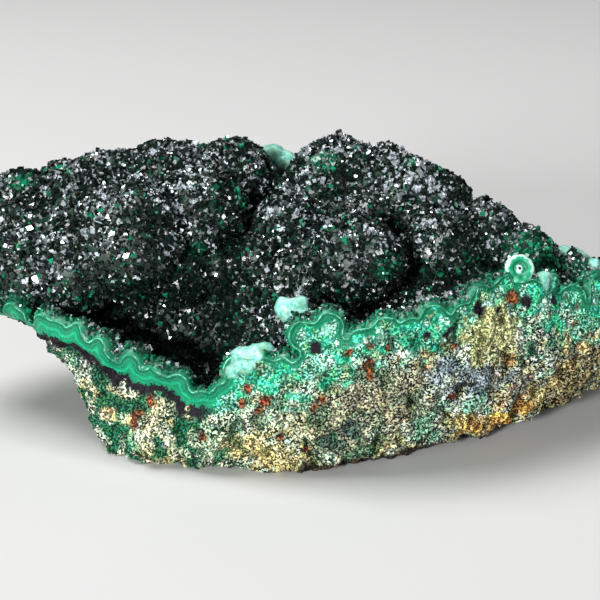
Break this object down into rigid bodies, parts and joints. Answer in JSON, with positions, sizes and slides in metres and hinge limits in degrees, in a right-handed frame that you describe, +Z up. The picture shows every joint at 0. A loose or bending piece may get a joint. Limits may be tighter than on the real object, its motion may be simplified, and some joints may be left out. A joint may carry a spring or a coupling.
{
  "type": "malachite specimen",
  "caption": "Broken piece of porous host rock under a rounded, banded malachite crust covered in small dark crystals, with a flat underside to rest on.",
  "frame": {"origin": "centre of the bounding box in plan, on the flat underside", "axes": "+X along the specimen, -Y towards its broken front, +Z up"},
  "size_m": [0.1502, 0.064, 0.0557],
  "materials": {
    "host_rock": "matt, porous and granular, cream and rust with green stains",
    "malachite_crust": "druse of small glossy, nearly black crystals over banded green malachite"
  },
  "bodies": {
    "root": {"host_rock": "host_rock", "malachite_crust": "malachite_crust"}
  },
  "joints": []
}
